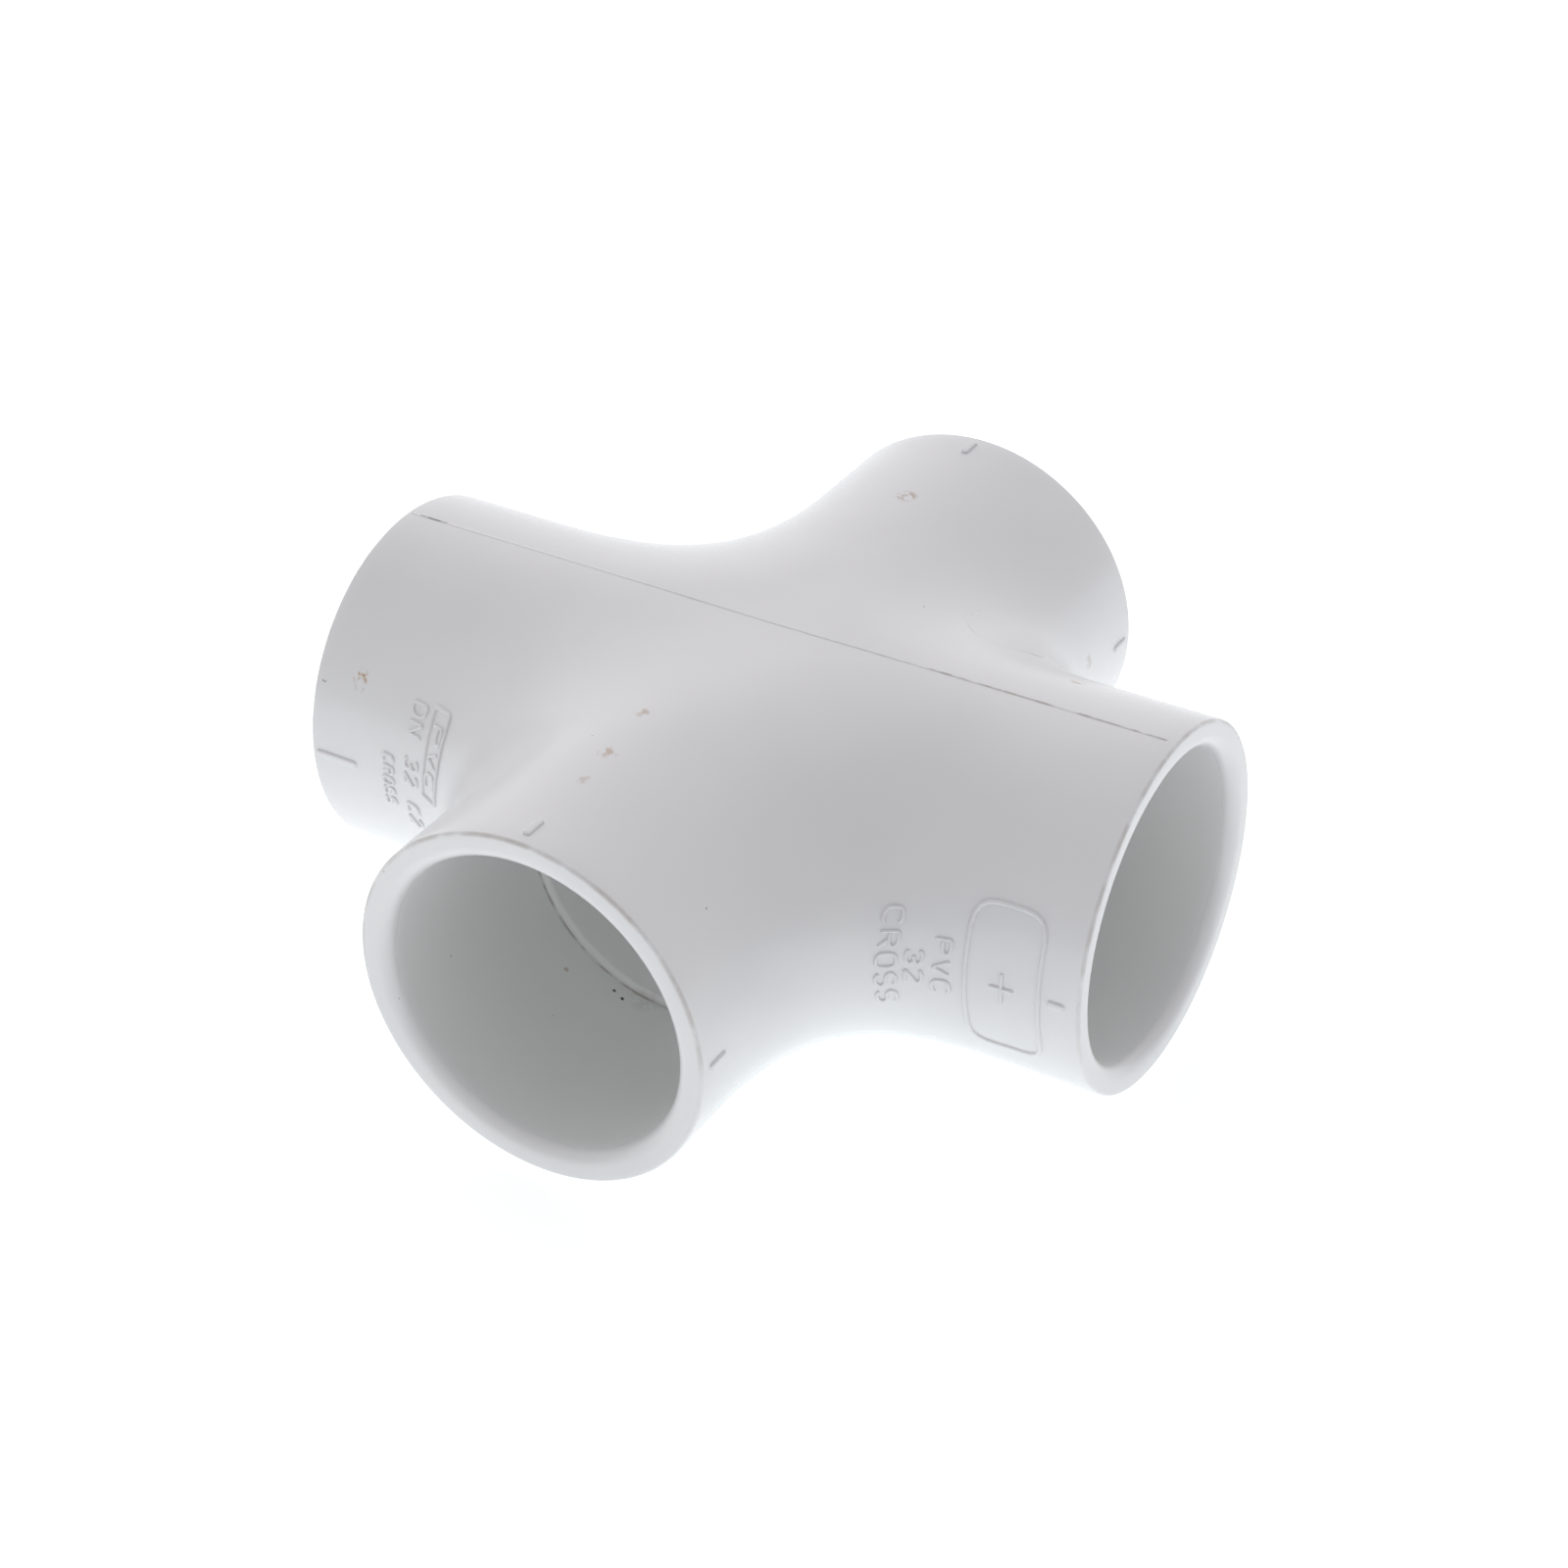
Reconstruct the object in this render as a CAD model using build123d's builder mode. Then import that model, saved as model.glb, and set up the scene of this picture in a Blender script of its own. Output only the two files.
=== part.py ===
from build123d import *
import math
import os

# Four-way plumbing cross for DN 32 (1-1/4 in) solvent-weld pipe, all sizes in millimetres.
# The frame: the two axes cross at the origin, the run with the parting line lies along X,
# the other run lies along Y, and +Z is up. The fitting lies flat on a table.
# The real cross is one injection moulding. It is split here into a hub and four sockets that
# meet face to face, and the raised marks on its skin are separate pieces.

# Driving dimensions
OUTER_RADIUS = 25.25          # outside of both runs
HALF_LENGTH = 58.74           # crossing of the axes to each rim, 2-5/16 in
SOCKET_DEPTH = 31.75          # rim to stop shoulder, 1-1/4 in
SOCKET_RADIUS = 21.15         # mean of a bore that tapers from 21.27 at the lip to 21.02 at the stop
WATERWAY_RADIUS = 20.15       # clear way through the middle
RIM_EDGE = 0.45               # rounding of the rim's outer edge
RIM_LIP = 2.0                 # rounding of the rim's inner edge, which leads the pipe in
SHOULDER_EDGE = 0.4           # rounding of the stop shoulder's inner edge
WEB_REACH = 28.0              # how far the web between two runs spreads along each of them
WEB_HANDLE = 20.0             # pull of the web's curve towards the corner of the two runs
WEB_INSET = 0.05              # the web starts just inside the tubes, so the pieces fuse cleanly

# Raised marks
RIDGE_WIDTH = 0.4             # flash left where the two mould halves meet
RIDGE_HEIGHT = 0.25
RIDGE_LEFT_END = -58.2
RIDGE_RIGHT_END = 57.2
TICK_WIDTH = 1.0              # marks used to line the pipes up
TICK_HEIGHT = 0.35
RELIEF = 0.3                  # height of letters and frames
FRAME_RIB = 0.6               # width of a frame's rib
STROKE = 0.45                 # width of a letter's stroke

SHOULDER = HALF_LENGTH - SOCKET_DEPTH
lip_start = HALF_LENGTH - RIM_LIP
DIAMETER = 2 * OUTER_RADIUS
QUARTER_TURNS = {"socket_right": 0, "socket_back": 90, "socket_left": 180, "socket_front": 270}

os.makedirs("parts", exist_ok=True)


def save(builder, name):
    """Label a finished piece and write its STEP file."""
    builder.part.label = name
    export_step(builder.part, f"parts/{name}.step")


# Web: the smooth fill between two neighbouring tubes. Its flat profile keeps its direction
# while its corner follows the curve in which the outsides of the two tubes cross.
crossing_radius = OUTER_RADIUS - WEB_INSET
with BuildPart() as web:
    with BuildLine(Plane(origin=(0, 0, 0), x_dir=(1, 1, 0), z_dir=(1, -1, 0))) as crossing_curve:
        EllipticalCenterArc(
            (0, 0), crossing_radius * math.sqrt(2), crossing_radius, start_angle=-90, arc_size=180
        )
    with BuildSketch(Plane.XY.offset(-crossing_radius)):
        with BuildLine():
            Polyline((0, WEB_REACH), (0, 0), (WEB_REACH, 0))
            Bezier((WEB_REACH, 0), (WEB_REACH - WEB_HANDLE, 0), (0, WEB_REACH - WEB_HANDLE), (0, WEB_REACH))
        make_face()
    sweep(path=crossing_curve.line, normal=(0, 0, 1))

# Outer skin: two equal tubes that cross, with a web in each of the four corners.
with BuildPart() as skin:
    Cylinder(OUTER_RADIUS, 2 * HALF_LENGTH, rotation=(0, 90, 0))
    Cylinder(OUTER_RADIUS, 2 * HALF_LENGTH, rotation=(90, 0, 0))
    with Locations([Rotation(0, 0, turn) for turn in QUARTER_TURNS.values()]):
        add(web.part)

# Centre hub: the middle of the cross, as far as the four stop shoulders. Each shoulder is the
# ring of hub wall that shows inside a socket, and a pipe pushed home stops against it.
with BuildPart() as centre_hub:
    add(skin.part)
    Box(2 * SHOULDER, 2 * SHOULDER, DIAMETER, mode=Mode.INTERSECT)
    Cylinder(WATERWAY_RADIUS, 2 * SHOULDER, rotation=(0, 90, 0), mode=Mode.SUBTRACT)
    Cylinder(WATERWAY_RADIUS, 2 * SHOULDER, rotation=(90, 0, 0), mode=Mode.SUBTRACT)
    shoulder_circles = centre_hub.edges().filter_by(GeomType.CIRCLE).filter_by(
        lambda edge: abs(edge.radius - WATERWAY_RADIUS) < 0.01
    )
    fillet(shoulder_circles, SHOULDER_EDGE)
save(centre_hub, "centre_hub")

# Socket: a cup for one pipe, from its stop shoulder to its rim. Beyond the hub it takes in its
# half of the web on each side, up to the diagonal that it shares with its neighbour.
with BuildPart() as socket:
    add(skin.part)
    with BuildSketch(Plane.XY.offset(-OUTER_RADIUS), mode=Mode.PRIVATE) as wedge:
        with BuildLine():
            Polyline(
                (SHOULDER, -SHOULDER),
                (HALF_LENGTH, -HALF_LENGTH),
                (HALF_LENGTH, HALF_LENGTH),
                (SHOULDER, SHOULDER),
                close=True,
            )
        make_face()
    extrude(wedge.sketch, amount=DIAMETER, mode=Mode.INTERSECT)
    rim_edge = socket.faces().sort_by(Axis.X)[-1].outer_wire().edges()
    fillet(rim_edge, RIM_EDGE)
    with BuildSketch(Plane.XZ):
        with BuildLine():
            Polyline(
                (HALF_LENGTH, SOCKET_RADIUS + RIM_LIP),
                (HALF_LENGTH, 0),
                (SHOULDER, 0),
                (SHOULDER, SOCKET_RADIUS),
                (lip_start, SOCKET_RADIUS),
            )
            RadiusArc((lip_start, SOCKET_RADIUS), (HALF_LENGTH, SOCKET_RADIUS + RIM_LIP), RIM_LIP)
        make_face()
    revolve(axis=Axis.X, mode=Mode.SUBTRACT)

for socket_name, turn in QUARTER_TURNS.items():
    with BuildPart() as turned_socket:
        with Locations(Rotation(0, 0, turn)):
            add(socket.part)
    save(turned_socket, socket_name)

# Parting ridge: the thin line of flash along the X run, where the two mould halves meet.
# The one underneath is a piece of its own, because the fitting rests on it.
for ridge_name, side in {"parting_ridge_top": 1, "parting_ridge_underside": -1}.items():
    ridge_middle = (RIDGE_LEFT_END + RIDGE_RIGHT_END) / 2
    with BuildPart() as ridge:
        with BuildSketch(Plane.XY.offset(side * OUTER_RADIUS)):
            with Locations((ridge_middle, 0)):
                Rectangle(RIDGE_RIGHT_END - RIDGE_LEFT_END, RIDGE_WIDTH)
        extrude(amount=side * RIDGE_HEIGHT)
    save(ridge, ridge_name)

# Alignment ticks: short raised bars beside the rims, one every quarter turn where no ridge runs.
# Each entry gives the direction that the tick faces and where it starts and ends along the run.
X_RUN_TICKS = {"ticks_left": (-58.0, -51.0), "ticks_right": (54.3, 56.8)}
Y_RUN_TICKS = {"ticks_front": (-57.0, -53.3), "ticks_back": (53.5, 57.2)}


def tick(outward, along, start, end, height):
    """One bar that stands on the skin, facing outward, from start to end along its run."""
    face = Plane(origin=outward * OUTER_RADIUS, x_dir=along, z_dir=outward)
    with BuildSketch(face) as footprint:
        with Locations(((start + end) / 2, 0)):
            Rectangle(end - start, TICK_WIDTH)
    extrude(footprint.sketch, amount=height)


for ticks_name, (start, end) in X_RUN_TICKS.items():
    with BuildPart() as x_run_ticks:
        for outward in (Vector(0, -1, 0), Vector(0, 1, 0)):
            tick(outward, Vector(1, 0, 0), start, end, TICK_HEIGHT)
    save(x_run_ticks, ticks_name)

for ticks_name, (start, end) in Y_RUN_TICKS.items():
    with BuildPart() as y_run_ticks:
        for outward in (Vector(1, 0, 0), Vector(-1, 0, 0), Vector(0, 0, 1)):
            tick(outward, Vector(0, 1, 0), start, end, TICK_HEIGHT)
    save(y_run_ticks, ticks_name)

# The two ticks underneath are as low as the ridge, so that the fitting stands level on all three.
with BuildPart() as ticks_underside:
    for start, end in Y_RUN_TICKS.values():
        tick(Vector(0, 0, -1), Vector(0, 1, 0), start, end, RIDGE_HEIGHT)
save(ticks_underside, "ticks_underside")

# Markings: plain sizes and names of material, raised on the front of the X run. They read
# downwards, with the tops of the letters towards +X. The mould opens along Y, so each one is a
# flat drawing that stands straight out of the skin.
# A letter is drawn in strokes on a grid 4 wide and 6 high.
LETTERS = {
    "C": [[(4, 5), (3, 6), (1, 6), (0, 5), (0, 1), (1, 0), (3, 0), (4, 1)]],
    "D": [[(0, 0), (0, 6), (2.5, 6), (4, 4.5), (4, 1.5), (2.5, 0), (0, 0)]],
    "N": [[(0, 0), (0, 6), (4, 0), (4, 6)]],
    "O": [[(1, 0), (0, 1), (0, 5), (1, 6), (3, 6), (4, 5), (4, 1), (3, 0), (1, 0)]],
    "P": [[(0, 0), (0, 6), (3, 6), (4, 5), (4, 4), (3, 3), (0, 3)]],
    "R": [[(0, 0), (0, 6), (3, 6), (4, 5), (4, 4), (3, 3), (0, 3)], [(2, 3), (4, 0)]],
    "S": [[(4, 5), (3, 6), (1, 6), (0, 5), (0, 4), (1, 3), (3, 3), (4, 2), (4, 1), (3, 0), (1, 0), (0, 1)]],
    "V": [[(0, 6), (2, 0), (4, 6)]],
    "2": [[(0, 5), (1, 6), (3, 6), (4, 5), (4, 4), (0, 0), (4, 0)]],
    "3": [
        [(0, 5), (1, 6), (3, 6), (4, 5), (4, 4), (3, 3), (1.5, 3)],
        [(3, 3), (4, 2), (4, 1), (3, 0), (1, 0), (0, 1)],
    ],
    "+": [[(0, 3), (4, 3)], [(2, 1), (2, 5)]],
}
GRID_HEIGHT = 6
GRID_ADVANCE = 6
front_view = Plane(origin=(0, -HALF_LENGTH, 0), x_dir=(0, 0, -1), z_dir=(0, -1, 0))


def word(text, feet_x, top, letter_height, advance):
    """Strokes of a word that starts at the height top and reads downwards."""
    across = advance / GRID_ADVANCE
    upright = letter_height / GRID_HEIGHT
    for place, letter in enumerate(text):
        if letter == " ":
            continue
        start = place * advance - top
        for stroke in LETTERS[letter]:
            with BuildLine() as pen:
                Polyline([(start + u * across, feet_x + v * upright) for u, v in stroke])
            trace(pen.line, line_width=STROKE)


def frame(low_x, high_x, top, bottom, corner):
    """A plain four-sided rib with rounded corners."""
    with Locations((-(top + bottom) / 2, (low_x + high_x) / 2)):
        RectangleRounded(top - bottom, high_x - low_x, corner)
        RectangleRounded(
            top - bottom - 2 * FRAME_RIB, high_x - low_x - 2 * FRAME_RIB, corner / 2, mode=Mode.SUBTRACT
        )


def raise_from_skin(drawing):
    """Stand a flat drawing proud of the skin, facing the front."""
    extrude(drawing, amount=-HALF_LENGTH)
    with Locations((0, -RELIEF, 0)):
        add(skin.part, mode=Mode.INTERSECT)
    add(skin.part, mode=Mode.SUBTRACT)


with BuildPart() as marking_left_frame:
    with BuildSketch(front_view) as left_frame_drawing:
        frame(-38.6, -34.9, 12.8, 0.5, 0.5)
    raise_from_skin(left_frame_drawing.sketch)
save(marking_left_frame, "marking_left_frame")

with BuildPart() as marking_left_text:
    with BuildSketch(front_view) as left_text_drawing:
        word("PVC", -37.7, 10.6, 1.9, 3.0)
        word("DN 32", -42.1, 12.0, 2.5, 2.35)
        word("C2", -42.1, -2.2, 2.3, 2.35)
        word("CROSS", -46.3, 3.8, 1.9, 1.7)
    raise_from_skin(left_text_drawing.sketch)
save(marking_left_text, "marking_left_text")

with BuildPart() as marking_right_frame:
    with BuildSketch(front_view) as right_frame_drawing:
        frame(43.0, 53.4, 11.2, -11.2, 2.4)
    raise_from_skin(right_frame_drawing.sketch)
save(marking_right_frame, "marking_right_frame")

with BuildPart() as marking_right_text:
    with BuildSketch(front_view) as right_text_drawing:
        word("CROSS", 33.1, 8.6, 2.1, 2.9)
        word("32", 36.2, 3.4, 1.9, 2.9)
        word("PVC", 39.3, 5.2, 2.1, 3.0)
        word("+", 45.6, 2.3, 5.0, 7.0)
    raise_from_skin(right_text_drawing.sketch)
save(marking_right_text, "marking_right_text")
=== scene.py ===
import math

import bmesh
import bpy
from mathutils import Matrix, Vector


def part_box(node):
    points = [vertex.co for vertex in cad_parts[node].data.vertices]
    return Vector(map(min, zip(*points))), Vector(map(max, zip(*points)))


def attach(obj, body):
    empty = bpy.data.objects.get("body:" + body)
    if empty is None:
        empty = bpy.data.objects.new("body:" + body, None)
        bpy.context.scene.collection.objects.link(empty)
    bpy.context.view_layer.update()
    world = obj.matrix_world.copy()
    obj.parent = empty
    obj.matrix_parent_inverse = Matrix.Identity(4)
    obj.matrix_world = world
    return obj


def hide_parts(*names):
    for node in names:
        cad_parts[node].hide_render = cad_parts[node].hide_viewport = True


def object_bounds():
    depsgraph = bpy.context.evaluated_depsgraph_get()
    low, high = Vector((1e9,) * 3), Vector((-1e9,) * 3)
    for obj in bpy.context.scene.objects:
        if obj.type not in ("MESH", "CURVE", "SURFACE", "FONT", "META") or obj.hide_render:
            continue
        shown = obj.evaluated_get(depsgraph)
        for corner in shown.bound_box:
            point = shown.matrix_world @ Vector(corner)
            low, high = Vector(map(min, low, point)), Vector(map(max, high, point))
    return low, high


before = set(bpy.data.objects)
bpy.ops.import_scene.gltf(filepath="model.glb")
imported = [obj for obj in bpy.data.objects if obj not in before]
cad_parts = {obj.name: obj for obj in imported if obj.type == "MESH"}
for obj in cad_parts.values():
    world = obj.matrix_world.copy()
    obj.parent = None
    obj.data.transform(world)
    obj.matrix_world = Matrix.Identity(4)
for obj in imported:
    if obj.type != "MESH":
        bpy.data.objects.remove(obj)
cad_low, cad_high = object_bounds()

# ---------------------------------------------------------------------------------------------
# The moulding: one shot of rigid PVC. Two equal tubes cross, a smooth web fills each corner, and
# each arm ends in a tapered socket with a rounded lip and a stop shoulder. One eighth of it is
# laid out in rows, from the web over the rim and in to the waterway; geometry nodes mirror it,
# repeat it for the four arms and weld it into one closed skin.
MM = 0.001
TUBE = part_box("centre_hub")[1][2]
HALF_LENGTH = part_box("socket_right")[1][0]
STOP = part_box("socket_right")[0][0]
LIP_BORE = 21.27 * MM
STOP_BORE = 21.02 * MM
WATERWAY = 20.15 * MM
WEB_REACH = 28.0 * MM
WEB_HANDLE = 20.0 * MM
RIM_EDGE = 0.45 * MM
RIM_LIP = 2.0 * MM
STOP_EDGE = 0.4 * MM
STOP_CORNER = 0.25 * MM
SAG_SHARE = 0.008
SAG_REACH = 18.0 * MM
ROW_COUNT = 81
WEB_STEPS = 12
TUBE_STEPS = 10
WATERWAY_STEPS = 14
FAN_STEPS = 8


def web_curve(u):
    """A point of the web's flat profile, measured from the corner of the two tubes, u from 0 to 1."""
    v = 1 - u
    along = v ** 3 * WEB_REACH + 3 * u * v * v * (WEB_REACH - WEB_HANDLE)
    out = 3 * u * u * v * (WEB_REACH - WEB_HANDLE) + u ** 3 * WEB_REACH
    return along, out


def sagged(x, y, z):
    """A point of the outer skin, drawn in a little where the thick hub shrank as it cooled."""
    return Vector((x, y, z * (1 - SAG_SHARE * math.exp(-(x * x + y * y) / SAG_REACH ** 2))))


def arc(along, out, radius, start, end, steps):
    """Points of an arc in a section through a tube, as (along the axis, out from the axis)."""
    angles = [math.radians(start + (end - start) * i / steps) for i in range(steps + 1)]
    return [(along + radius * math.cos(a), out + radius * math.sin(a)) for a in angles]


def socket_section():
    """The section of one socket, from the outside of the tube over the rim and in to the waterway."""
    points = arc(HALF_LENGTH - RIM_EDGE, TUBE - RIM_EDGE, RIM_EDGE, 90, 0, 5)
    points += [(HALF_LENGTH, (TUBE + LIP_BORE) / 2 + RIM_LIP / 2)]
    points += arc(HALF_LENGTH - RIM_LIP, LIP_BORE + RIM_LIP, RIM_LIP, 0, -90, 8)
    bore_start = points[-1]
    bore_end = (STOP + STOP_CORNER, STOP_BORE)
    for i in range(1, 8):
        share = i / 8
        points.append(tuple(a + (b - a) * share for a, b in zip(bore_start, bore_end)))
    points += arc(STOP + STOP_CORNER, STOP_BORE - STOP_CORNER, STOP_CORNER, 90, 180, 3)
    points += arc(STOP - STOP_EDGE, WATERWAY + STOP_EDGE, STOP_EDGE, 0, -90, 4)
    return points


def eighth_of_moulding():
    """Vertices and faces of the part from the X axis to the diagonal, open where it will be welded."""
    section = socket_section()
    points, faces = [], []
    for row in range(ROW_COUNT):
        turn = math.radians(-90 + 180 * row / (ROW_COUNT - 1))
        side, height = math.cos(turn), math.sin(turn)
        wall, level = TUBE * side, TUBE * height
        for i in range(WEB_STEPS + 1):
            along, out = web_curve(0.5 - 0.5 * i / WEB_STEPS)
            points.append(sagged(wall + along, wall + out, level))
        tube_start, tube_end = wall + WEB_REACH, HALF_LENGTH - RIM_EDGE
        for i in range(1, TUBE_STEPS):
            points.append(sagged(tube_start + (tube_end - tube_start) * i / TUBE_STEPS, wall, level))
        points += [Vector((x, r * side, r * height)) for x, r in section]
        crossing = WATERWAY * side
        channel_start = section[-1][0]
        for i in range(1, WATERWAY_STEPS + 1):
            x = channel_start + (crossing - channel_start) * i / WATERWAY_STEPS
            points.append(Vector((x, crossing, WATERWAY * height)))
    columns = len(points) // ROW_COUNT
    for row in range(ROW_COUNT - 1):
        for column in range(columns - 1):
            a = row * columns + column
            faces.append((a, a + 1, a + 1 + columns, a + columns))
    # The level top and bottom of the hub, as a fan from its middle out to the web
    for row, upward in ((0, False), (ROW_COUNT - 1, True)):
        outer = [row * columns + i for i in range(WEB_STEPS + 1)]
        for ring in range(1, FAN_STEPS + 1):
            share = 1 - ring / FAN_STEPS
            inner = []
            for i in range(WEB_STEPS + 1):
                edge = points[row * columns + i]
                inner.append(len(points))
                points.append(sagged(edge.x * share, edge.y * share, math.copysign(TUBE, edge.z)))
            for i in range(WEB_STEPS):
                ring_face = (outer[i], outer[i + 1], inner[i + 1], inner[i])
                faces.append(ring_face if not upward else ring_face[::-1])
            outer = inner
    return points, faces


def add_node(tree, kind, inputs, **settings):
    """Adds a node. A node given as an input's value stands for the first output it has in use."""
    node = tree.nodes.new(kind)
    for name, value in settings.items():
        setattr(node, name, value)
    for key, value in inputs.items():
        socket = node.inputs[key] if isinstance(key, int) else next(
            each for each in node.inputs if each.enabled and each.name == key)
        if isinstance(value, bpy.types.Node):
            value = next(each for each in value.outputs if each.enabled)
        if isinstance(value, bpy.types.NodeSocket):
            tree.links.new(value, socket)
        else:
            socket.default_value = value
    return node


def new_tree(name, **named_inputs):
    """A geometry node tree with a geometry in and out, and named inputs given as socket types."""
    tree = bpy.data.node_groups.new(name, "GeometryNodeTree")
    tree.interface.new_socket("Geometry", in_out="INPUT", socket_type="NodeSocketGeometry")
    for label, kind in named_inputs.items():
        tree.interface.new_socket(label, in_out="INPUT", socket_type="NodeSocket" + kind)
    tree.interface.new_socket("Geometry", in_out="OUTPUT", socket_type="NodeSocketGeometry")
    return tree


def make_piece(name, points, edges, faces, tree, **values):
    """Runs points through a node tree with these inputs, and leaves a plain mesh that faces outwards."""
    mesh = bpy.data.meshes.new(name)
    mesh.from_pydata(points, edges, faces)
    mesh.materials.append(values["Material"])
    piece = bpy.data.objects.new(name, mesh)
    bpy.context.scene.collection.objects.link(piece)
    modifier = piece.modifiers.new(tree.name, "NODES")
    modifier.node_group = tree
    for item in tree.interface.items_tree:
        if item.in_out == "INPUT" and item.name in values:
            modifier[item.identifier] = values[item.name]
    graph = bpy.context.evaluated_depsgraph_get()
    finished = bpy.data.meshes.new_from_object(piece.evaluated_get(graph))
    piece.modifiers.clear()
    piece.data = finished
    shell = bmesh.new()
    shell.from_mesh(finished)
    bmesh.ops.remove_doubles(shell, verts=shell.verts, dist=0.001 * MM)
    bmesh.ops.recalc_face_normals(shell, faces=shell.faces)
    shell.to_mesh(finished)
    shell.free()
    return piece


four_arms = new_tree("Four arms from one eighth", Arms="Int", Weld="Float", Material="Material")
given = add_node(four_arms, "NodeGroupInput", {}).outputs
mirrored = add_node(four_arms, "GeometryNodeTransform", {"Geometry": given["Geometry"], "Scale": (1, -1, 1)})
turned_back = add_node(four_arms, "GeometryNodeFlipFaces", {"Mesh": mirrored})
one_arm = add_node(four_arms, "GeometryNodeJoinGeometry", {"Geometry": given["Geometry"]})
four_arms.links.new(turned_back.outputs[0], one_arm.inputs[0])
spots = add_node(four_arms, "GeometryNodePoints", {"Count": given["Arms"]})
step = add_node(four_arms, "ShaderNodeMath", {0: math.tau, 1: given["Arms"]}, operation="DIVIDE")
index = add_node(four_arms, "GeometryNodeInputIndex", {})
angle = add_node(four_arms, "ShaderNodeMath", {0: step, 1: index}, operation="MULTIPLY")
about_z = add_node(four_arms, "ShaderNodeCombineXYZ", {"Z": angle})
repeated = add_node(four_arms, "GeometryNodeInstanceOnPoints",
                    {"Points": spots, "Instance": one_arm, "Rotation": about_z})
real = add_node(four_arms, "GeometryNodeRealizeInstances", {"Geometry": repeated})
welded = add_node(four_arms, "GeometryNodeMergeByDistance", {"Geometry": real, "Distance": given["Weld"]})
smooth = add_node(four_arms, "GeometryNodeSetShadeSmooth", {"Geometry": welded})
coated = add_node(four_arms, "GeometryNodeSetMaterial", {"Geometry": smooth, "Material": given["Material"]})
add_node(four_arms, "NodeGroupOutput", {"Geometry": coated})


# The material is rigid PVC: opaque, milky and faintly cool, with the even gloss that the tool's
# polished steel leaves. Painted highlights whiten the crown of the parting ridge and the stop edge in
# each socket. Handling adds a grey line on the rims, dirt on the parting line and round the bottom of
# the sockets, dust inside them, some brown rub marks and a few dark specks.
def linear(hex_colour):
    """An sRGB hex colour as the linear RGBA that shaders take."""
    channels = [int(hex_colour[i:i + 2], 16) / 255 for i in (1, 3, 5)]
    return [c / 12.92 if c <= 0.04045 else ((c + 0.055) / 1.055) ** 2.4 for c in channels] + [1.0]


pvc = bpy.data.materials.new("Rigid PVC, moulded gloss")
pvc.use_nodes = True
skin = pvc.node_tree
skin.nodes.clear()
place = add_node(skin, "ShaderNodeTexCoord", {}).outputs["Object"]
axes = add_node(skin, "ShaderNodeSeparateXYZ", {0: place}).outputs
sides = [add_node(skin, "ShaderNodeMath", {0: axes[i]}, operation="ABSOLUTE") for i in range(3)]
along = add_node(skin, "ShaderNodeMath", {0: sides[0], 1: sides[1]}, operation="MAXIMUM")
across = add_node(skin, "ShaderNodeMath", {0: sides[0], 1: sides[1]}, operation="MINIMUM")
section_place = add_node(skin, "ShaderNodeCombineXYZ", {"X": across, "Z": axes[2]})
off_axis = add_node(skin, "ShaderNodeVectorMath", {0: section_place}, operation="LENGTH").outputs["Value"]


def stain(below, hex_colour, strength, masks):
    """Lays a stain on a colour. A mask is (value, where it is 0, where it is 1), and they multiply."""
    share = strength
    for value, none, full in masks:
        mask = add_node(skin, "ShaderNodeMapRange", {"Value": value, "From Min": none, "From Max": full},
                        interpolation_type="SMOOTHSTEP")
        share = add_node(skin, "ShaderNodeMath", {0: share, 1: mask}, operation="MULTIPLY")
    over = add_node(skin, "ShaderNodeMix", {"Factor": share, "A": below, "B": linear(hex_colour)},
                    data_type="RGBA")
    return over, share


# The pigment drifts by about a hundredth over 35 mm
drift = add_node(skin, "ShaderNodeTexNoise", {"Vector": place, "Scale": 1 / (35 * MM), "Detail": 2.0})
colour, _ = stain(linear("#EDEDEE"), "#E8E8EA", 1.0, [(drift, 0.35, 0.65)])

# Dust settled inside the sockets
colour, dust = stain(colour, "#DEE0DD", 0.5, [(off_axis, LIP_BORE + 0.6 * MM, LIP_BORE),
                                              (along, HALF_LENGTH, HALF_LENGTH - 4 * MM)])

# A painted highlight: the crown of the parting ridge, left of about x = 8 mm and fading out by 30 mm, is
# painted white where light from behind would catch it
colour, _ = stain(colour, "#FFFFFF", 1.0, [(sides[1], 0.3 * MM, 0.2 * MM), (axes[0], 30 * MM, 8 * MM),
                                           (sides[2], TUBE + 0.01 * MM, TUBE + 0.03 * MM)])

# Dirt beside the parting line: near black at the left end, brown in patches right of the middle
patches = add_node(skin, "ShaderNodeTexNoise", {"Vector": place, "Scale": 1 / (3.5 * MM), "Detail": 4.0})
on_seam = [(sides[1], 0.26 * MM, 0.08 * MM), (sides[2], TUBE - 1.5 * MM, TUBE - 0.5 * MM)]
brown = on_seam + [(axes[0], 8 * MM, 30 * MM), (axes[0], 57.4 * MM, 56.6 * MM), (patches, 0.38, 0.62)]
colour, _ = stain(colour, "#8C8175", 0.65, brown)
blackened = on_seam + [(axes[0], -49 * MM, -51 * MM), (patches, 0.42, 0.52)]
colour, _ = stain(colour, "#57504A", 0.8, blackened)

# A grey-brown line where the outer edge of each rim has been rubbed, mostly on the upper side
rubbing = add_node(skin, "ShaderNodeTexNoise", {"Vector": place, "Scale": 1 / (3 * MM), "Detail": 5.0})
colour, scuffs = stain(colour, "#A89E94", 0.42, [(along, HALF_LENGTH - 0.6 * MM, HALF_LENGTH - 0.2 * MM),
                                                (off_axis, TUBE - 0.7 * MM, TUBE - 0.25 * MM),
                                                (axes[2], -14 * MM, 12 * MM), (rubbing, 0.32, 0.68)])
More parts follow.
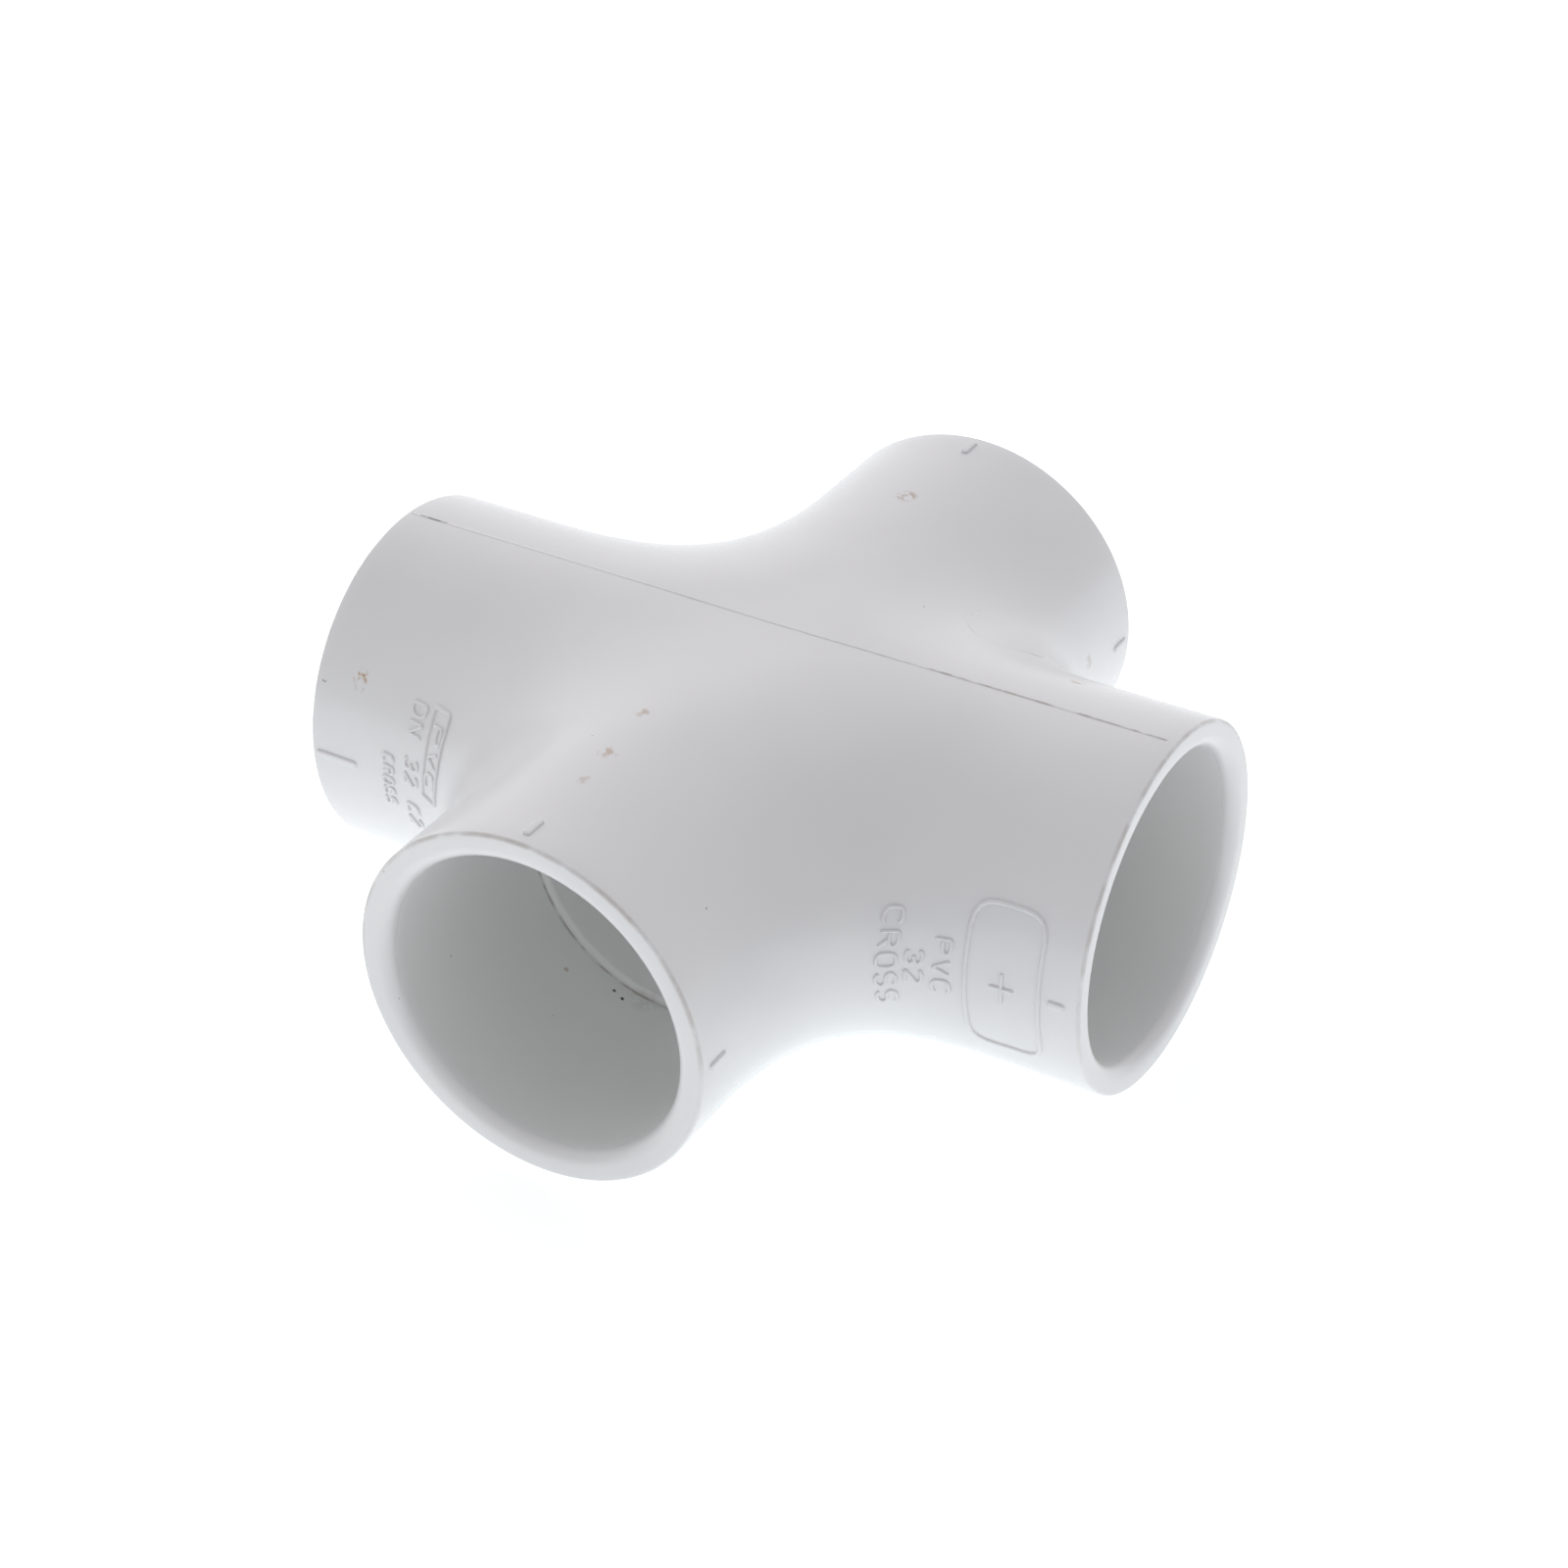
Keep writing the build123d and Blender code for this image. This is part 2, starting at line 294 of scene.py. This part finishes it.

# A thin line of dirt in the corner at the bottom of each socket. Beside it the rounded stop edge is painted
# paler than the clean pigment, a painted highlight that also covers the dust there
off_stop = add_node(skin, "ShaderNodeMath", {0: along, 1: STOP}, operation="SUBTRACT")
off_corner = add_node(skin, "ShaderNodeMath", {0: off_stop}, operation="ABSOLUTE")
colour, _ = stain(colour, "#84776A", 0.5, [(off_corner, 0.35 * MM, 0.08 * MM), (rubbing, 0.36, 0.60),
                                            (off_axis, STOP_BORE - 0.4 * MM, STOP_BORE - 0.15 * MM),
                                            (off_axis, TUBE - 2 * MM, TUBE - 3 * MM)])
# Painted highlight on the rounded stop edge and shoulder, paler than the plastic itself
colour, _ = stain(colour, "#F7F7F6", 0.9, [(off_corner, 1.0 * MM, 0.5 * MM),
                                           (off_axis, STOP_BORE - 0.15 * MM, STOP_BORE - 0.35 * MM)])

# Dark specks about 0.3 mm across, on one in six of the cells of a 5 mm pattern
cells = add_node(skin, "ShaderNodeTexVoronoi", {"Vector": place, "Scale": 1 / (5 * MM)})
lot = add_node(skin, "ShaderNodeSeparateColor", {0: cells.outputs["Color"]})
colour, _ = stain(colour, "#5A5249", 0.7, [(cells.outputs["Distance"], 0.034, 0.016), (lot, 0.82, 0.84)])

# Rub marks and grime: on which tube, at what radius, how far out in millimetres, degrees round from
# the top (plus towards +X or +Y), how far the mark spreads in millimetres, its strength and colour
TOWARDS = {"right": Vector((1, 0, 0)), "left": Vector((-1, 0, 0)),
           "back": Vector((0, 1, 0)), "front": Vector((0, -1, 0))}
RUBS = [
    ("front", TUBE, 27, -6, 1.3, 0.45, "#A9825C"),
    ("front", TUBE, 37, -3, 1.6, 0.50, "#B08658"),
    ("front", TUBE, 43.5, -1, 1.2, 0.30, "#A9825C"),
    ("back", TUBE, 38.5, -2, 1.9, 0.60, "#A5845F"),
    ("left", TUBE, 51.5, -61, 1.6, 0.80, "#B78B50"),
    ("left", TUBE, 51.5, -64, 1.0, 0.35, "#B09A78"),
    ("left", TUBE, 57.3, -65, 0.5, 1.50, "#4A443E"),
    ("right", TUBE, 40.5, 21, 1.4, 0.50, "#B08F70"),
    ("front", STOP_BORE, 28.8, -159, 0.4, 2.00, "#1E1B18"),
    ("front", STOP_BORE, 29.3, -163, 0.4, 2.00, "#1E1B18"),
    ("front", STOP_BORE, 31.7, -141, 0.5, 0.50, "#8A6B4C"),
    ("front", STOP_BORE, 27.6, -170, 2.6, 0.16, "#8D7C69"),
    ("back", TUBE, 12, 175, 3.0, 0.40, "#A5937C"),
    ("back", TUBE, 44, 83, 2.0, 0.30, "#A08B72"),
    ("front", TUBE, 38, -77, 1.8, 0.30, "#A08B72"),
]
grain = add_node(skin, "ShaderNodeTexNoise", {"Vector": place, "Scale": 1 / (1.1 * MM), "Detail": 4.0})
for tube, radius, out, turn, spread, strength, hex_colour in RUBS:
    sideways = Vector((abs(TOWARDS[tube].y), abs(TOWARDS[tube].x), 0))
    round_tube = sideways * math.sin(math.radians(turn)) + Vector((0, 0, math.cos(math.radians(turn))))
    centre = TOWARDS[tube] * out * MM + round_tube * radius
    away = add_node(skin, "ShaderNodeVectorMath", {0: place, 1: list(centre)}, operation="DISTANCE")
    colour, _ = stain(colour, hex_colour, strength, [(away.outputs["Value"], spread * MM, 0.4 * spread * MM),
                                                     (grain, 0.42, 0.58)])

# The gloss is even, a little duller where the skin was handled, soiled or dusty. The orange peel
# is about 1.5 mm across and only microns deep, on top of a slower sink of 14 mm.
handling = add_node(skin, "ShaderNodeTexNoise", {"Vector": place, "Scale": 1 / (11 * MM), "Detail": 4.0})
gloss = add_node(skin, "ShaderNodeMapRange", {"Value": handling, "To Min": 0.18, "To Max": 0.28})
soiled = add_node(skin, "ShaderNodeMath", {0: scuffs, 1: dust}, operation="MAXIMUM")
roughness = add_node(skin, "ShaderNodeMath", {0: soiled, 1: 0.2, 2: gloss}, operation="MULTIPLY_ADD")
peel = add_node(skin, "ShaderNodeTexNoise", {"Vector": place, "Scale": 1 / (1.5 * MM), "Detail": 2.0})
sink = add_node(skin, "ShaderNodeTexNoise", {"Vector": place, "Scale": 1 / (14 * MM), "Detail": 1.0})
height = add_node(skin, "ShaderNodeMath", {0: sink, 1: 8.0, 2: peel}, operation="MULTIPLY_ADD")
bump = add_node(skin, "ShaderNodeBump", {"Strength": 0.25, "Distance": 0.03 * MM, "Height": height})
shader = add_node(skin, "ShaderNodeBsdfPrincipled",
                  {"Base Color": colour, "Roughness": roughness, "IOR": 1.53, "Subsurface Weight": 0.1,
                   "Subsurface Radius": (1.0, 1.0, 1.0), "Subsurface Scale": 1.2 * MM, "Normal": bump})
add_node(skin, "ShaderNodeOutputMaterial", {"Surface": shader})

moulding_points, moulding_faces = eighth_of_moulding()
moulding = make_piece("moulding", moulding_points, [], moulding_faces, four_arms,
                      Arms=4, Weld=0.003 * MM, Material=pvc)
moulding.data.set_sharp_from_angle(angle=math.radians(40))
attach(moulding, "root")
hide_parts("centre_hub", "socket_right", "socket_left", "socket_front", "socket_back")

# ---------------------------------------------------------------------------------------------
# Parting ridge: the hair-thin flash along the X run, top and bottom, where the two halves of the
# mould close. It is part of the same shot. Here it is a round rib, sunk so that its crown stands a
# tenth of a millimetre proud, that swells and fades a little along its length, as flash does.
RIDGE_RADIUS = 0.30 * MM
RIDGE_LIFT = -0.20 * MM
RIDGE_RIPPLE = 0.6
RIB_STEP = 0.12 * MM
RIB_SIDES = 10
RIB_TIP = 0.15
RIDGE_STEPS = 116
FLAT_CORNER = 0.45
FLAT_CORNER_STEPS = 5
FLASH_WAVE = 5 * MM

ribs = new_tree("Raised ribs", Radius="Float", Step="Float", Ripple="Float", Seed="Float", Flat="Bool",
                Material="Material")
given = add_node(ribs, "NodeGroupInput", {}).outputs
lines = add_node(ribs, "GeometryNodeMeshToCurve", {"Mesh": given["Geometry"]})
even = add_node(ribs, "GeometryNodeResampleCurve", {"Curve": lines, "Length": given["Step"]}, mode="LENGTH")
reached = add_node(ribs, "GeometryNodeSplineParameter", {}).outputs["Length"]
total = add_node(ribs, "GeometryNodeSplineLength", {}).outputs["Length"]
left_over = add_node(ribs, "ShaderNodeMath", {0: total, 1: reached}, operation="SUBTRACT")
from_end = add_node(ribs, "ShaderNodeMath", {0: reached, 1: left_over}, operation="MINIMUM")
share = add_node(ribs, "ShaderNodeMath", {0: from_end, 1: given["Radius"]},
                 operation="DIVIDE", use_clamp=True)
rest = add_node(ribs, "ShaderNodeMath", {0: 2.0, 1: share}, operation="SUBTRACT")
squared = add_node(ribs, "ShaderNodeMath", {0: share, 1: rest}, operation="MULTIPLY")
dome = add_node(ribs, "ShaderNodeMath", {0: squared}, operation="SQRT")
tip = add_node(ribs, "ShaderNodeMath", {0: dome, 1: RIB_TIP}, operation="MAXIMUM")
closed = add_node(ribs, "GeometryNodeInputSplineCyclic", {})
width = add_node(ribs, "GeometryNodeSwitch", {"Switch": closed, "False": tip, "True": 1.0},
                 input_type="FLOAT")
wave = add_node(ribs, "ShaderNodeTexNoise", {"W": given["Seed"], "Scale": 1 / FLASH_WAVE, "Detail": 3.0},
                noise_dimensions="4D")
about_zero = add_node(ribs, "ShaderNodeMath", {0: wave, 1: 0.5}, operation="SUBTRACT")
swell = add_node(ribs, "ShaderNodeMath", {0: about_zero, 1: given["Ripple"], 2: 1.0},
                 operation="MULTIPLY_ADD")
thick = add_node(ribs, "ShaderNodeMath", {0: width, 1: swell}, operation="MULTIPLY")
ring = add_node(ribs, "GeometryNodeCurvePrimitiveCircle",
                {"Resolution": RIB_SIDES, "Radius": given["Radius"]})
full_width = add_node(ribs, "ShaderNodeMath", {0: given["Radius"], 1: 2.0}, operation="MULTIPLY")
corner_radius = add_node(ribs, "ShaderNodeMath", {0: given["Radius"], 1: FLAT_CORNER},
                         operation="MULTIPLY")
square = add_node(ribs, "GeometryNodeCurvePrimitiveQuadrilateral",
                  {"Width": full_width, "Height": full_width})
eased_square = add_node(ribs, "GeometryNodeFilletCurve",
                        {"Curve": square, "Count": FLAT_CORNER_STEPS, "Radius": corner_radius}, mode="POLY")
profile = add_node(ribs, "GeometryNodeSwitch", {"Switch": given["Flat"], "False": ring, "True": eased_square},
                   input_type="GEOMETRY")
tube = add_node(ribs, "GeometryNodeCurveToMesh",
                {"Curve": even, "Profile Curve": profile, "Scale": thick, "Fill Caps": True})
rounded = add_node(ribs, "GeometryNodeSetShadeSmooth", {"Geometry": tube})
whole = add_node(ribs, "GeometryNodeRealizeInstances", {"Geometry": rounded})
coated = add_node(ribs, "GeometryNodeSetMaterial", {"Geometry": whole, "Material": given["Material"]})
add_node(ribs, "NodeGroupOutput", {"Geometry": coated})


def raise_ribs(name, paths, radius, ripple=0.0, flat=False):
    """A piece of round or flat-topped ribs along paths, each a list of points and whether it is closed."""
    points, edges = [], []
    for path, is_closed in paths:
        first = len(points)
        points += path
        edges += [(i, i + 1) for i in range(first, len(points) - 1)]
        if is_closed:
            edges.append((len(points) - 1, first))
    piece = make_piece(name, points, edges, [], ribs,
                       Radius=radius, Step=RIB_STEP, Ripple=ripple, Seed=3.0, Flat=flat, Material=pvc)
    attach(piece, "root")
    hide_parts(name)


for ridge_name, up in (("parting_ridge_top", 1), ("parting_ridge_underside", -1)):
    ridge_start, ridge_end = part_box(ridge_name)[0][0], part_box(ridge_name)[1][0]
    ridge_path = []
    for i in range(RIDGE_STEPS + 1):
        x = ridge_start + (ridge_end - ridge_start) * i / RIDGE_STEPS
        ridge_path.append(sagged(x, 0.0, up * TUBE) + Vector((0, 0, up * RIDGE_LIFT)))
    raise_ribs(ridge_name, [(ridge_path, False)], RIDGE_RADIUS, ripple=RIDGE_RIPPLE)

# ---------------------------------------------------------------------------------------------
# Alignment ticks: short raised bars beside the rims, a quarter turn apart, which a fitter lines
# up with a mark on the pipe. They are cut into the mould, flat on top with eased edges, about 1 mm
# wide and a third of a millimetre high.
TICK_RADIUS = 0.5 * MM
TICK_HEIGHT = 0.35 * MM
UNDER_TICK_HEIGHT = 0.25 * MM
X_AXIS, Y_AXIS, Z_AXIS = Vector((1, 0, 0)), Vector((0, 1, 0)), Vector((0, 0, 1))


def tick_path(outward, along_tube, start, end, height):
    """The middle line of a tick that faces outward, sunk so that it stands up by its height."""
    middle = outward * (TUBE + height - TICK_RADIUS)
    return [middle + along_tube * start, middle + along_tube * end], False


under_ticks = []
for ticks_name, along_tube, outwards in (("ticks_left", X_AXIS, (Y_AXIS, -Y_AXIS)),
                                         ("ticks_right", X_AXIS, (Y_AXIS, -Y_AXIS)),
                                         ("ticks_front", Y_AXIS, (X_AXIS, -X_AXIS, Z_AXIS)),
                                         ("ticks_back", Y_AXIS, (X_AXIS, -X_AXIS, Z_AXIS))):
    tick_low, tick_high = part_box(ticks_name)
    tick_start, tick_end = tick_low.dot(along_tube), tick_high.dot(along_tube)
    raise_ribs(ticks_name, [tick_path(outward, along_tube, tick_start, tick_end, TICK_HEIGHT)
                            for outward in outwards], TICK_RADIUS, flat=True)
    if along_tube == Y_AXIS:
        under_ticks.append(tick_path(-Z_AXIS, Y_AXIS, tick_start, tick_end, UNDER_TICK_HEIGHT))
raise_ribs("ticks_underside", under_ticks, TICK_RADIUS, flat=True)

# ---------------------------------------------------------------------------------------------
# Markings: the size and the material, raised on the front of the X run in round strokes, with a
# plain frame on each side. They read downwards, the tops of the letters towards +X. The letters
# are drawn on a grid 4 wide and 6 high, softened at the corners and laid on the skin.
LETTERS = {
    "C": [[(4, 5), (3, 6), (1, 6), (0, 5), (0, 1), (1, 0), (3, 0), (4, 1)]],
    "D": [[(0, 0), (0, 6), (2.5, 6), (4, 4.5), (4, 1.5), (2.5, 0), (0, 0)]],
    "N": [[(0, 0), (0, 6), (4, 0), (4, 6)]],
    "O": [[(2, 0), (1, 0), (0, 1), (0, 5), (1, 6), (3, 6), (4, 5), (4, 1), (3, 0), (2, 0)]],
    "P": [[(0, 0), (0, 6), (3, 6), (4, 5), (4, 4), (3, 3), (0, 3)]],
    "R": [[(0, 0), (0, 6), (3, 6), (4, 5), (4, 4), (3, 3), (0, 3)], [(2, 3), (4, 0)]],
    "S": [[(4, 5), (3, 6), (1, 6), (0, 5), (0, 4), (1, 3), (3, 3), (4, 2), (4, 1), (3, 0), (1, 0), (0, 1)]],
    "V": [[(0, 6), (2, 0), (4, 6)]],
    "2": [[(0, 5), (1, 6), (3, 6), (4, 5), (4, 4), (0, 0), (4, 0)]],
    "3": [[(0, 5), (1, 6), (3, 6), (4, 5), (4, 4), (3, 3), (1.5, 3)],
          [(3, 3), (4, 2), (4, 1), (3, 0), (1, 0), (0, 1)]],
    "+": [[(0, 3), (4, 3)], [(2, 1), (2, 5)]],
}
GRID_HEIGHT = 6
GRID_ADVANCE = 6
LETTER_RADIUS = 0.25 * MM
LETTER_LIFT = 0.05 * MM
FRAME_RADIUS = 0.33 * MM
FRAME_LIFT = -0.03 * MM
SOFTENING = 0.9
SKIN_STEP = 0.3 * MM
HALVINGS = 30


def front_skin(x, z):
    """The point of the front skin of the X run at this place along it and height."""
    wall = math.sqrt(TUBE * TUBE - z * z)
    past_corner = abs(x) - wall
    if past_corner >= WEB_REACH:
        return Vector((x, -wall, z))
    low_u, high_u = 0.0, 1.0
    for _ in range(HALVINGS):
        middle = (low_u + high_u) / 2
        if web_curve(middle)[0] > past_corner:
            low_u = middle
        else:
            high_u = middle
    return sagged(x, -wall - web_curve(low_u)[1], z)


def soften(points, reach, is_closed=False):
    """Rounds the corners of a flat line, each over at most half of its two sides."""
    inner = range(len(points)) if is_closed else range(1, len(points) - 1)
    eased = [] if is_closed else [points[0]]
    for i in inner:
        before, here, after = (Vector(points[j % len(points)]) for j in (i - 1, i, i + 1))
        cut_in = here + (before - here).normalized() * min(reach, (before - here).length / 2)
        cut_out = here + (after - here).normalized() * min(reach, (after - here).length / 2)
        for u in (0.0, 0.25, 0.5, 0.75, 1.0):
            eased.append(tuple(cut_in * (1 - u) ** 2 + here * 2 * u * (1 - u) + cut_out * u * u))
    return eased if is_closed else eased + [points[-1]]


def lay_on_skin(flat, lift, is_closed=False):
    """Lays a flat line of (x, z) points on the front skin, lifted off it, in steps that follow it."""
    ends = flat + flat[:1] if is_closed else flat
    path = []
    for (x0, z0), (x1, z1) in zip(ends, ends[1:]):
        pieces = max(1, round(math.hypot(x1 - x0, z1 - z0) / SKIN_STEP))
        for i in range(pieces):
            path.append(front_skin(x0 + (x1 - x0) * i / pieces, z0 + (z1 - z0) * i / pieces))
    if not is_closed:
        path.append(front_skin(*flat[-1]))
    return [point - Y_AXIS * lift for point in path], is_closed


def word(text, feet_x, top, letter_height, advance):
    """Paths of a word that starts at the height top and reads downwards, sizes in millimetres."""
    across, upright = advance / GRID_ADVANCE, letter_height / GRID_HEIGHT
    paths = []
    for position, letter in enumerate(text):
        start = top - position * advance
        for stroke in LETTERS.get(letter, []):
            is_closed = stroke[0] == stroke[-1]
            line = soften(stroke[:-1] if is_closed else stroke, SOFTENING, is_closed)
            flat = [((feet_x + v * upright) * MM, (start - u * across) * MM) for u, v in line]
            paths.append(lay_on_skin(flat, LETTER_LIFT, is_closed))
    return paths


def plain_frame(low_x, high_x, top, bottom, corner):
    """The path of a four-sided frame with rounded corners, sizes in millimetres."""
    flat = soften([(low_x, top), (high_x, top), (high_x, bottom), (low_x, bottom)], corner, is_closed=True)
    return lay_on_skin([(x * MM, z * MM) for x, z in flat], FRAME_LIFT, is_closed=True)


raise_ribs("marking_left_frame", [plain_frame(-38.3, -35.2, 12.5, 0.8, 0.5)], FRAME_RADIUS)
raise_ribs("marking_left_text", word("PVC", -37.7, 10.6, 1.9, 3.0) + word("DN 32", -42.1, 12.0, 2.5, 2.35)
           + word("C2", -42.1, -2.2, 2.3, 2.35) + word("CROSS", -46.3, 3.8, 1.9, 1.7), LETTER_RADIUS)
raise_ribs("marking_right_frame", [plain_frame(43.3, 53.1, 10.9, -10.9, 3.0)], FRAME_RADIUS)
raise_ribs("marking_right_text", word("CROSS", 33.1, 8.6, 2.1, 2.9) + word("32", 36.2, 3.4, 1.9, 2.9)
           + word("PVC", 39.3, 5.2, 2.1, 3.0) + word("+", 45.6, 2.3, 5.0, 7.0), LETTER_RADIUS)

# ---------------------------------------------------------------------------------------------
# Witness pad: the shallow round print of a pin of the mould, in the web between the right and the
# back tube. It is part of the same shot, about 11 mm across with a soft edge. Its face leans: it is
# flush beside the right tube and stands 0.4 mm proud on the back tube's side.
PAD_X, PAD_Z = 24.6 * MM, 19.8 * MM
PAD_RADIUS = 5.6 * MM
PAD_HEIGHT = 0.40 * MM
PAD_EDGE = 0.35 * MM
PAD_DEPTH = 0.4 * MM
PAD_SIDES = 72
PAD_EDGE_STEPS = 6


def back_skin(x, z):
    """The point of the back skin at this place along the X run and height."""
    front = front_skin(x, z)
    return Vector((front.x, -front.y, front.z))


pad_centre = back_skin(PAD_X, PAD_Z)
pad_uphill = (back_skin(PAD_X, PAD_Z + MM) - pad_centre).normalized()
pad_sideways = (back_skin(PAD_X + MM, PAD_Z) - pad_centre).normalized()
pad_normal = pad_uphill.cross(pad_sideways).normalized()
if pad_normal.dot(pad_centre) < 0:
    pad_normal = -pad_normal
pad_up = pad_normal.cross(pad_sideways).normalized()
pad_lean = (Y_AXIS - pad_normal * Y_AXIS.dot(pad_normal)).normalized()
pad_rings = [(0.0, PAD_HEIGHT)]
pad_rings += [(PAD_RADIUS * share, PAD_HEIGHT) for share in (0.25, 0.5, 0.75, 0.9)]
for i in range(PAD_EDGE_STEPS + 1):
    turn = math.radians(90 * i / PAD_EDGE_STEPS)
    pad_rings.append((PAD_RADIUS - PAD_EDGE + PAD_EDGE * math.sin(turn), PAD_HEIGHT * math.cos(turn)))
pad_rings += [(PAD_RADIUS, -PAD_DEPTH), (PAD_RADIUS * 0.5, -PAD_DEPTH), (0.0, -PAD_DEPTH)]
pad_mesh = bpy.data.meshes.new("witness_pad")
pad_piece = bpy.data.objects.new("witness_pad", pad_mesh)
bpy.context.scene.collection.objects.link(pad_piece)
pad_shell = bmesh.new()
pad_loops = []
for ring_radius, lift in pad_rings:
    loop = []
    for i in range(PAD_SIDES):
        turn = math.tau * i / PAD_SIDES
        offset = pad_sideways * ring_radius * math.cos(turn) + pad_up * ring_radius * math.sin(turn)
        flat_place = pad_centre + offset
        lean = (1 + offset.dot(pad_lean) / PAD_RADIUS) / 2
        lean_lift = lift * lean if lift > 0 else lift
        loop.append(pad_shell.verts.new(back_skin(flat_place.x, flat_place.z) + pad_normal * lean_lift))
    pad_loops.append(loop)
for inner_loop, outer_loop in zip(pad_loops, pad_loops[1:]):
    for i in range(PAD_SIDES):
        j = (i + 1) % PAD_SIDES
        pad_shell.faces.new((inner_loop[i], inner_loop[j], outer_loop[j], outer_loop[i]))
bmesh.ops.remove_doubles(pad_shell, verts=pad_shell.verts, dist=0.001 * MM)
bmesh.ops.recalc_face_normals(pad_shell, faces=pad_shell.faces)
for face in pad_shell.faces:
    face.smooth = True
pad_shell.to_mesh(pad_mesh)
pad_shell.free()
pad_mesh.materials.append(pvc)
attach(pad_piece, "root")

# ---------------------------------------------------------------------------------------------
# The studio: a lit white sweep under the fitting, a soft white room that is brightest behind and
# overhead, one weak lamp on the left that brings out the relief, and the camera.
FLOOR_SIZE = 6.0
FLOOR_GLOW = 0.56
floor_mesh = bpy.data.meshes.new("floor")
half = FLOOR_SIZE / 2
corners = ((-half, -half), (half, -half), (half, half), (-half, half))
floor_mesh.from_pydata([(x, y, cad_low[2]) for x, y in corners], [], [(0, 1, 2, 3)])
floor = bpy.data.objects.new("floor", floor_mesh)
bpy.context.scene.collection.objects.link(floor)
sweep = bpy.data.materials.new("Lit white sweep")
sweep.use_nodes = True
sweep.node_tree.nodes.clear()
matt = add_node(sweep.node_tree, "ShaderNodeBsdfPrincipled",
                {"Base Color": linear("#F2F2F2"), "Roughness": 0.9, "Specular IOR Level": 0.0,
                 "Emission Color": (0.92, 0.985, 1.0, 1.0), "Emission Strength": FLOOR_GLOW})
add_node(sweep.node_tree, "ShaderNodeOutputMaterial", {"Surface": matt})
floor_mesh.materials.append(sweep)

ROOM_ALL_ROUND = 0.30
ROOM_BEHIND = 0.80
ROOM_OVERHEAD = 0.32
ROOM_BACK = (-0.514, 0.858, 0.0)
room = bpy.data.worlds.new("Soft white room")
bpy.context.scene.world = room
room.use_nodes = True
walls = room.node_tree
walls.nodes.clear()
facing = add_node(walls, "ShaderNodeTexCoord", {}).outputs["Generated"]
backward = add_node(walls, "ShaderNodeVectorMath", {0: facing, 1: ROOM_BACK}, operation="DOT_PRODUCT")
behind = add_node(walls, "ShaderNodeMath", {0: backward.outputs["Value"], 1: 0.0}, operation="MAXIMUM")
upward = add_node(walls, "ShaderNodeSeparateXYZ", {0: facing}).outputs["Z"]
overhead = add_node(walls, "ShaderNodeMath", {0: upward, 1: 0.0}, operation="MAXIMUM")
back_wall = add_node(walls, "ShaderNodeMath", {0: behind, 1: ROOM_BEHIND, 2: ROOM_ALL_ROUND},
                     operation="MULTIPLY_ADD")
ceiling = add_node(walls, "ShaderNodeMath", {0: overhead, 1: ROOM_OVERHEAD, 2: back_wall},
                   operation="MULTIPLY_ADD")
glow = add_node(walls, "ShaderNodeBackground", {"Color": (1.0, 0.985, 1.0, 1.0), "Strength": ceiling})
add_node(walls, "ShaderNodeOutputWorld", {"Surface": glow})

LAMP_PLACE = Vector((-1.2, -0.5, 0.75))
LAMP_SIZE = 1.2
LAMP_POWER = 0.9
lamp_data = bpy.data.lights.new("wide lamp", "AREA")
lamp_data.shape = "DISK"
lamp_data.size = LAMP_SIZE
lamp_data.energy = LAMP_POWER
lamp = bpy.data.objects.new("wide lamp", lamp_data)
lamp.matrix_world = Matrix.Translation(LAMP_PLACE) @ LAMP_PLACE.to_track_quat("Z", "Y").to_matrix().to_4x4()
bpy.context.scene.collection.objects.link(lamp)

CAMERA_TURN = math.radians(30.94)
CAMERA_RISE = math.radians(33.93)
CAMERA_ROLL = math.radians(-0.464)
CAMERA_DISTANCE = 0.4412
CAMERA_SHIFT_RIGHT = 1.54 * MM
CAMERA_SHIFT_DOWN = 0.45 * MM
CAMERA_LENS_MM = 74.73
CAMERA_SENSOR_MM = 36.0
camera_data = bpy.data.cameras.new("camera")
camera_data.sensor_width = CAMERA_SENSOR_MM
camera_data.lens = CAMERA_LENS_MM
camera = bpy.data.objects.new("camera", camera_data)
bpy.context.scene.collection.objects.link(camera)
level = math.cos(CAMERA_RISE)
back = Vector((math.sin(CAMERA_TURN) * level, -math.cos(CAMERA_TURN) * level, math.sin(CAMERA_RISE)))
right = (-back).cross(Z_AXIS).normalized()
above = right.cross(-back)
rolled_right = right * math.cos(CAMERA_ROLL) + above * math.sin(CAMERA_ROLL)
rolled_up = above * math.cos(CAMERA_ROLL) - right * math.sin(CAMERA_ROLL)
camera_place = back * CAMERA_DISTANCE + rolled_right * CAMERA_SHIFT_RIGHT - rolled_up * CAMERA_SHIFT_DOWN
facing_way = Matrix((rolled_right, rolled_up, back)).transposed().to_4x4()
camera.matrix_world = Matrix.Translation(camera_place) @ facing_way
bpy.context.scene.camera = camera
bpy.context.scene.view_settings.view_transform = "Standard"
